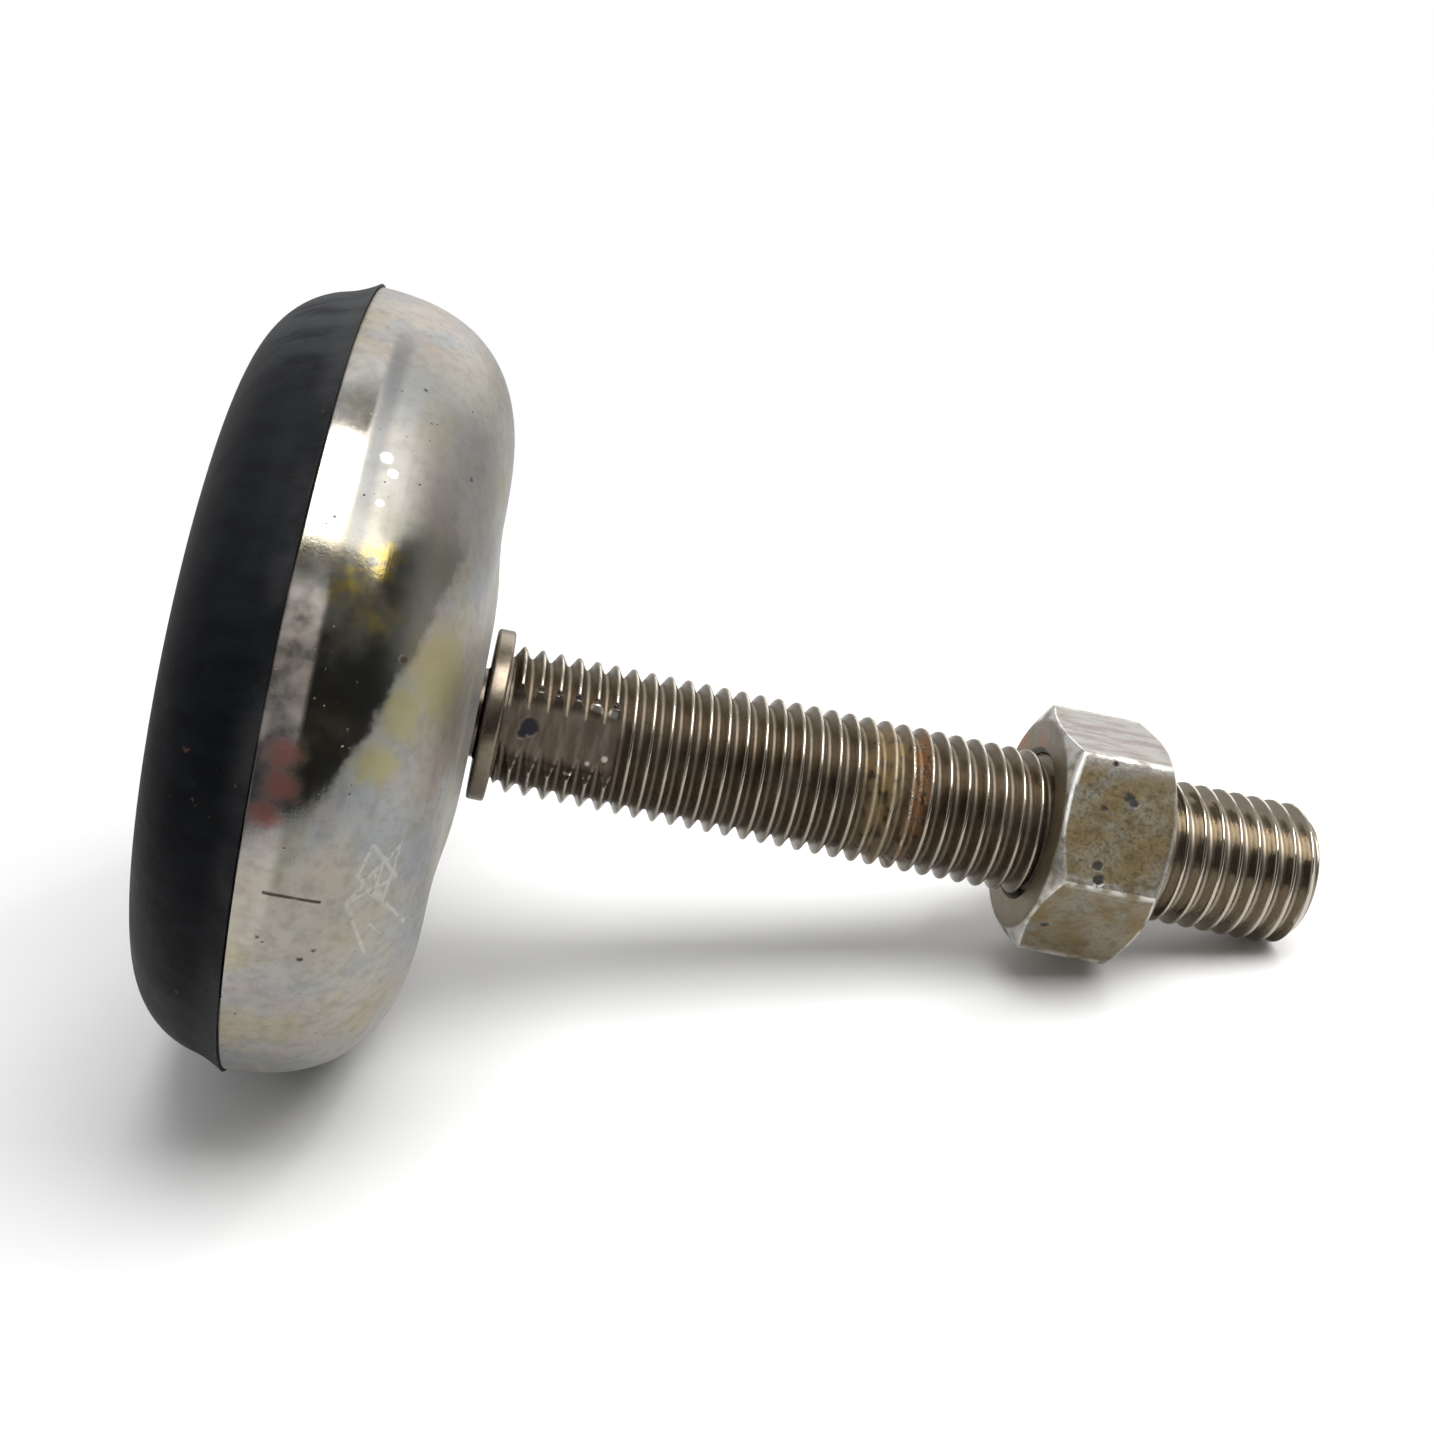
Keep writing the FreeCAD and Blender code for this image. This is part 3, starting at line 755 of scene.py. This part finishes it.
def table_material(middle):
    """White table top that fades out far from its middle, and can be looked through from below."""
    g = Graph("table")
    cloud = g.noise(60.0, detail=3)
    colour = g.mix(g.ramp(cloud, 0.3, 0.7), (0.86, 0.86, 0.855), (0.885, 0.885, 0.88))
    output = g.add("ShaderNodeOutputMaterial")
    paper = g.add("ShaderNodeBsdfPrincipled")
    g.feed(paper.inputs["Base Color"], colour)
    g.feed(paper.inputs["Roughness"], 0.7)
    g.feed(paper.inputs["Normal"], g.bump(g.noise(1.5, detail=5), 0.02))
    clear = g.add("ShaderNodeBsdfTransparent")
    side = g.add("ShaderNodeNewGeometry")
    choice = g.add("ShaderNodeMixShader")
    distance = g.vector("DISTANCE", g.place, tuple(middle))
    g.feed(choice.inputs[0], g.most(side.outputs["Backfacing"], g.ramp(distance, FADE_START, FADE_END)))
    g.feed(choice.inputs[1], paper.outputs[0])
    g.feed(choice.inputs[2], clear.outputs[0])
    g.feed(output.inputs["Surface"], choice.outputs[0])
    return g.material


# Pieces


def pad_side(height):
    """Radius of the sole's tapered side, which flares out under the seam."""
    below_seam = PAD_HEIGHT - height
    flare = max(0.0, 1 - below_seam / PAD_FLARE) ** 2
    return PAD_SIDE_RADIUS - below_seam * math.tan(PAD_TAPER) + flare * (PAD_RADIUS - PAD_SIDE_RADIUS)


def make_pad(material):
    """Moulded sole: ring grooves in its floor face, a rounded bottom and a flare at the seam."""
    outline = [(FAN_RADIUS, 0.0)]
    for radius in GROOVES:
        low = radius - GROOVE_HALF
        high = radius + GROOVE_HALF
        root = GROOVE_DEPTH - GROOVE_ROOT
        outline += corner((low - GROOVE_LIP, GROOVE_LIP), GROOVE_LIP, -90, 0, 2)
        outline += corner((low + GROOVE_ROOT, root), GROOVE_ROOT, 180, 90, 2)
        outline += corner((high - GROOVE_ROOT, root), GROOVE_ROOT, 90, 0, 2)
        outline += corner((high + GROOVE_LIP, GROOVE_LIP), GROOVE_LIP, 180, 270, 2)
    corner_end = PAD_CORNER * (1 - math.sin(PAD_TAPER))
    corner_x = pad_side(corner_end) - PAD_CORNER * math.cos(PAD_TAPER)
    outline += corner((corner_x, PAD_CORNER), PAD_CORNER, -90, -math.degrees(PAD_TAPER), 18)
    for step in range(1, 9):
        height = PAD_HEIGHT - PAD_FLARE + (PAD_FLARE - 0.1) * step / 8
        outline.append((pad_side(height), height))
    outline += [
        (PAD_RADIUS - 0.01, PAD_HEIGHT - 0.06),
        (PAD_RADIUS - 0.01, PAD_HEIGHT - 0.03),
        (PAD_RADIUS - 0.05, PAD_HEIGHT),
        (PLATE_RECESS, PAD_HEIGHT),
        (PLATE_RECESS, PLATE_BOTTOM),
        (FAN_RADIUS, PLATE_BOTTOM),
    ]
    mesh = bmesh.new()
    rows = add_turned(mesh, outline, around(PAD_STEPS))
    add_cap(mesh, rows[0], 0.0, False)
    add_cap(mesh, rows[-1], PLATE_BOTTOM, True)
    finish_piece(mesh, "rubber_sole", material, "base", "rubber_pad")


def dome_face(rim, land, top, steps):
    """One face of the pressed dome, from the rim up to the flat by the hole."""
    band = PAD_HEIGHT + DOME_RIM
    crown = top - DOME_CROWN
    rise = crown - band
    run = rim - DOME_SHOULDER
    middle = (DOME_SHOULDER + land) / 2
    points = [(rim, band)]
    points += bezier((rim, band), (rim, band + DOME_SIDE_FULLNESS * rise),
                     (DOME_SHOULDER + DOME_TOP_FULLNESS * run, crown), (DOME_SHOULDER, crown), steps)
    points += bezier((DOME_SHOULDER, crown), (middle, crown), (middle, top), (land, top), 8)
    return points


def dome_dents(point):
    """Pressing and handling leave the wall very slightly uneven, except at its rim and top."""
    wave = noise.noise(point * 0.07 + Vector((3, 1, 4)))
    off_rim = min(max((point.z - PAD_HEIGHT - DOME_RIM) / 4, 0), 1)
    off_top = min(max((DOME_TOP - point.z) / 1.5, 0), 1)
    return point * (1 - DOME_DENT * off_rim * off_top * (1 + wave))


def make_dome(material):
    """Pressed cover: soft rim edge, rounded shoulder, low crown and a hole with rolled edges."""
    roof = DOME_TOP - DOME_WALL
    outline = [(PLATE_RECESS, PAD_HEIGHT), (DOME_RADIUS - DOME_RIM_EDGE - 0.05, PAD_HEIGHT)]
    outline += corner((DOME_RADIUS - DOME_RIM_EDGE, PAD_HEIGHT + DOME_RIM_EDGE), DOME_RIM_EDGE, -90, 0, 4)
    outline += dome_face(DOME_RADIUS, DOME_LAND, DOME_TOP, 30)
    outline += corner((DOME_HOLE + DOME_TOP_EDGE, DOME_TOP - DOME_TOP_EDGE), DOME_TOP_EDGE, 90, 180, 4)
    outline += corner((DOME_HOLE + DOME_ROOF_EDGE, roof + DOME_ROOF_EDGE), DOME_ROOF_EDGE, 180, 270, 3)
    outline += reversed(dome_face(PLATE_RECESS, DOME_SEAT, roof, 16))
    mesh = bmesh.new()
    rows = add_turned(mesh, outline, around(DOME_STEPS), dome_dents)
    add_rows(mesh, [rows[-1], rows[0]])
    finish_piece(mesh, "steel_dome", material, "base", "dome_shell")


def nick(height, angle):
    """Depth of the knocks that the crests have taken, mostly by the wrench flats."""
    place = polar(6.0, angle, height * 0.9)
    strength = NICK_BY_FLATS if height < FLATS_TOP + 4 else NICK_ELSEWHERE
    return strength * max(0.0, noise.noise(place) - 0.22)


def shank_radius(height, angle):
    """Radius of the threaded shank: undercut, thread and tip chamfer."""
    thread = thread_radius(height, angle)
    thread -= nick(height, angle) * max(0.0, (thread - NICK_FROM) / 0.5)
    lead_in = UNDERCUT_RADIUS + (height - THREAD_START) / FLANK_SLOPE
    tip = CREST_RADIUS - (height - (SPINDLE_TOP - TIP_CHAMFER))
    return min(thread, lead_in, tip)


def flatted(radius, angle):
    """Radius after the two wrench flats, square to Y, are cut."""
    across = abs(math.sin(angle))
    return radius if across * radius <= FLAT_DISTANCE else FLAT_DISTANCE / across


def flatted_shank_radius(height, angle):
    """Radius of the shank where the wrench flats are."""
    return flatted(shank_radius(height, angle), angle)


def make_spindle(material):
    """Ball, neck, collar, undercut, wrench flats and the long thread."""
    ball_centre = BALL_BOTTOM + BALL_RADIUS
    neck_angle = math.degrees(math.acos(NECK_RADIUS / BALL_RADIUS))
    outline = corner((0, ball_centre), BALL_RADIUS, -88, neck_angle, 30)
    outline += [(NECK_RADIUS, COLLAR_BOTTOM - 0.3), (NECK_RADIUS + 0.3, COLLAR_BOTTOM)]
    inner = COLLAR_RADIUS - COLLAR_BEVEL
    outline += corner((inner, COLLAR_BOTTOM + COLLAR_BEVEL), COLLAR_BEVEL, -90, 0, 5)
    outline += corner((inner, COLLAR_TOP - COLLAR_BEVEL), COLLAR_BEVEL, 0, 90, 5)
    outline += [(UNDERCUT_RADIUS + 0.6, COLLAR_TOP), (FLAT_DISTANCE - 0.4, COLLAR_TOP)]
    mesh = bmesh.new()
    rows = add_turned(mesh, outline, around(BALL_STEPS))
    add_cap(mesh, rows[0], BALL_BOTTOM, False)
    undercut = []
    for height in (COLLAR_TOP - 0.01, THREAD_START):
        row = [polar(flatted(UNDERCUT_RADIUS, a), a, height) for a in around(FLATS_STEPS)]
        undercut.append([mesh.verts.new(point) for point in row])
    add_rows(mesh, undercut)
    add_thread(mesh, THREAD_START, FLATS_TOP, FLATS_STEPS, flatted_shank_radius)
    add_thread(mesh, FLATS_TOP, SPINDLE_TOP, THREAD_STEPS, shank_radius)
    turn = around(THREAD_STEPS)
    shoulder = [mesh.verts.new(polar(shank_radius(FLATS_TOP, a), a, FLATS_TOP)) for a in turn]
    add_cap(mesh, shoulder, FLATS_TOP, False)
    tip = [mesh.verts.new(polar(CREST_RADIUS - TIP_CHAMFER, a, SPINDLE_TOP)) for a in turn]
    add_cap(mesh, tip, SPINDLE_TOP, True)
    finish_piece(mesh, "spindle_shaft", material, "spindle", "spindle", 42)


def hexagon(angle):
    """Radius of the nut's six-sided outline, its corners slightly rounded."""
    sector = (angle - NUT_TURN) % (math.pi / 3) - math.pi / 6
    return min(NUT_FLATS / 2 / math.cos(sector), NUT_CORNER)


def nut_outline(angle):
    """The nut's outside at one angle, from its lower face up to its upper one.

    The chamfer runs from the bearing face to the side, and its two edges are slightly rounded.
    """
    side = hexagon(angle)
    drop = (side - NUT_BEARING) * FLANK_SLOPE
    half = [
        (NUT_SINK, 0.0),
        (NUT_SINK + 0.15, 0.0),
        ((NUT_SINK + NUT_BEARING) / 2, 0.0),
        (NUT_BEARING - 0.15, 0.0),
        (NUT_BEARING + 0.1, 0.058),
        (side - 0.12, max(drop - 0.07, 0.07)),
        (side - 0.02, drop + 0.03),
        (side, drop + 0.15),
        (side, drop + 1.2),
        (side, (NUT_TOP - NUT_BOTTOM) / 3),
    ]
    low = [(r, NUT_BOTTOM + h) for r, h in half]
    high = [(r, NUT_TOP - h) for r, h in reversed(half)]
    return low + [(side, (NUT_BOTTOM + NUT_TOP) / 2)] + high


def nut_angles():
    """Angles round the nut, closer together at its corners."""
    within = (0, 0.8, 1.8, 3.5, 6, 10, 15, 20, 25, 30, 35, 40, 45, 50, 54, 56.5, 58.2, 59.2)
    return [NUT_TURN + math.radians(60 * k + a) for k in range(6) for a in within]


def nut_wall(height, angle):
    """Radius of the nut's threaded bore, countersunk at both faces."""
    thread = max(NUT_BORE, thread_radius(height, angle) + NUT_PLAY)
    sink = NUT_SINK - min(height - NUT_BOTTOM, NUT_TOP - height)
    return max(thread, sink)


def make_nut(material):
    """Lock nut: six worn flats, chamfers, countersinks and its own thread."""
    mesh = bmesh.new()
    angles = nut_angles()
    columns = []
    for a in angles:
        columns.append([mesh.verts.new(polar(r, a, h)) for r, h in nut_outline(a)])
    rows = [list(row) for row in zip(*columns)]
    add_rows(mesh, rows)
    add_thread(mesh, NUT_BOTTOM, NUT_TOP, NUT_STEPS, nut_wall, outward=False)
    finish_piece(mesh, "hex_nut", material, "lock_nut", "lock_nut", 22)


def dress_inner_pieces():
    """The pieces inside the dome keep their CAD shape and get their own materials."""
    steel = inner_steel_material()
    acetal = acetal_material()
    looks = {
        "base_plate": steel,
        "ball_hub": steel,
        "retaining_ring": steel,
        "lower_seat": acetal,
        "upper_seat": acetal,
    }
    for node, material in looks.items():
        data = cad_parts[node].data
        data.materials.clear()
        data.materials.append(material)


# Stage: table, lights and camera

UP = Vector((-0.902, -0.302, -0.309)).normalized()     # the table's normal, in the foot's frame
TABLE_REACH = 400.0
FADE_START = 160.0
FADE_END = 330.0
MIDDLE = Vector((0.0, 0.0, 75.0))
TABLE_GAP = 0.02
ROOM_PALE = 0.62
ROOM_DARK = 0.03
ROOM_TURN = (0.35, 0.82)     # it darkens between these cosines of the angle from its dark middle
ROOM_LEAN = Vector((0.0, 0.0, 0.4))     # takes the dark middle from the viewer to the free end


def table_level():
    """How far along UP the table lies, so that the sole's edge or the nut just touches it."""
    level = 0.0
    edges = (
        (PAD_RADIUS, PAD_HEIGHT),
        (NUT_CORNER, NUT_BOTTOM + NUT_CHAMFER),
        (NUT_CORNER, NUT_TOP - NUT_CHAMFER),
    )
    for radius, height in edges:
        for angle in around(180):
            level = min(level, polar(radius, angle, height).dot(UP))
    return level


def make_table():
    """Flat sheet under the lying foot."""
    side = UP.cross(Vector((0, 0, 1))).normalized()
    ahead = UP.cross(side).normalized()
    steps = 12
    mesh = bmesh.new()
    middle = MIDDLE - UP * (MIDDLE.dot(UP) - table_level() + TABLE_GAP)
    grid = []
    for i in range(steps + 1):
        row = []
        for j in range(steps + 1):
            u = TABLE_REACH * (2 * i / steps - 1)
            v = TABLE_REACH * (2 * j / steps - 1)
            row.append(mesh.verts.new((middle + side * u + ahead * v) * MM))
        grid.append(row)
    for i in range(steps):
        for j in range(steps):
            mesh.faces.new((grid[i][j], grid[i + 1][j], grid[i + 1][j + 1], grid[i][j + 1]))
    mesh.normal_update()
    if any(face.normal.dot(UP) < 0 for face in mesh.faces):
        bmesh.ops.reverse_faces(mesh, faces=mesh.faces)
    data = bpy.data.meshes.new("table")
    mesh.to_mesh(data)
    mesh.free()
    table = bpy.data.objects.new("table", data)
    bpy.context.scene.collection.objects.link(table)
    data.materials.append(table_material(middle))


def soft_box(name, direction, distance, width, length, radiance):
    """Rectangular light that faces the foot, with its long side along the spindle."""
    lamp = bpy.data.lights.new(name, "AREA")
    lamp.shape = "RECTANGLE"
    lamp.size = width * MM
    lamp.size_y = length * MM
    lamp.energy = radiance * math.pi * lamp.size * lamp.size_y
    toward = Vector(direction).normalized()
    across = Vector((0, 0, 1)).cross(toward).normalized()
    upright = toward.cross(across)
    light = bpy.data.objects.new(name, lamp)
    light.matrix_world = (
        Matrix.Translation((MIDDLE + toward * distance) * MM)
        @ Matrix((across, upright, toward)).transposed().to_4x4()
    )
    bpy.context.scene.collection.objects.link(light)


def make_room(dark_middle):
    """Pale room that is darker on the viewer's side; a camera only sees it as plain white."""
    world = bpy.data.worlds.new("room")
    world.use_nodes = True
    bpy.context.scene.world = world
    tree = world.node_tree
    tree.nodes.clear()
    coordinates = tree.nodes.new("ShaderNodeTexCoord")
    facing = tree.nodes.new("ShaderNodeVectorMath")
    facing.operation = "DOT_PRODUCT"
    facing.inputs[1].default_value = dark_middle
    tree.links.new(coordinates.outputs["Generated"], facing.inputs[0])
    shade = tree.nodes.new("ShaderNodeMapRange")
    shade.interpolation_type = "SMOOTHSTEP"
    for socket, value in zip(shade.inputs[1:5], (*ROOM_TURN, ROOM_PALE, ROOM_DARK)):
        socket.default_value = value
    tree.links.new(facing.outputs["Value"], shade.inputs[0])
    seen = tree.nodes.new("ShaderNodeLightPath")
    choice = tree.nodes.new("ShaderNodeMix")
    choice.data_type = "FLOAT"
    tree.links.new(seen.outputs["Is Camera Ray"], choice.inputs[0])
    tree.links.new(shade.outputs[0], choice.inputs[2])
    choice.inputs[3].default_value = 1.0
    background = tree.nodes.new("ShaderNodeBackground")
    background.inputs["Color"].default_value = (1, 1, 1, 1)
    tree.links.new(choice.outputs[0], background.inputs["Strength"])
    output = tree.nodes.new("ShaderNodeOutputWorld")
    tree.links.new(background.outputs[0], output.inputs["Surface"])


CAMERA_PLACE = Vector((-27.2, -240.7, 32.65))
CAMERA_AIM = Vector((-2.74, 0.0, 50.75))
CAMERA_UP = Vector((-0.974, 0.114, -0.198))
CAMERA_LENS = 45.5
CAMERA_SHIFT = (0.088, -0.002)


def make_camera():
    """A little above the lying foot, nearly square to its spindle, the free end to the right."""
    back = (CAMERA_PLACE - CAMERA_AIM).normalized()
    right = CAMERA_UP.cross(back).normalized()
    up = back.cross(right)
    data = bpy.data.cameras.new("camera")
    data.lens = CAMERA_LENS
    data.shift_x, data.shift_y = CAMERA_SHIFT
    camera = bpy.data.objects.new("camera", data)
    camera.matrix_world = (
        Matrix.Translation(CAMERA_PLACE * MM) @ Matrix((right, up, back)).transposed().to_4x4()
    )
    bpy.context.scene.collection.objects.link(camera)
    bpy.context.scene.camera = camera
    return back


make_pad(rubber_material())
make_dome(dome_material())
make_spindle(spindle_material())
make_nut(nut_material())
dress_inner_pieces()

toward_viewer = make_camera()
make_table()
make_room((toward_viewer + ROOM_LEAN).normalized())
soft_box("key_light", (-0.84, -0.52, 0.05), distance=650, width=380, length=620, radiance=7.0)
soft_box("back_light", (-0.75, 0.62, 0.2), distance=800, width=500, length=600, radiance=1.6)
soft_box("spark_light", (-0.947, -0.2, 0.241), distance=600, width=60, length=60, radiance=30.0)

bpy.context.scene.view_settings.view_transform = "Standard"
bpy.context.scene.view_settings.exposure = 0.0
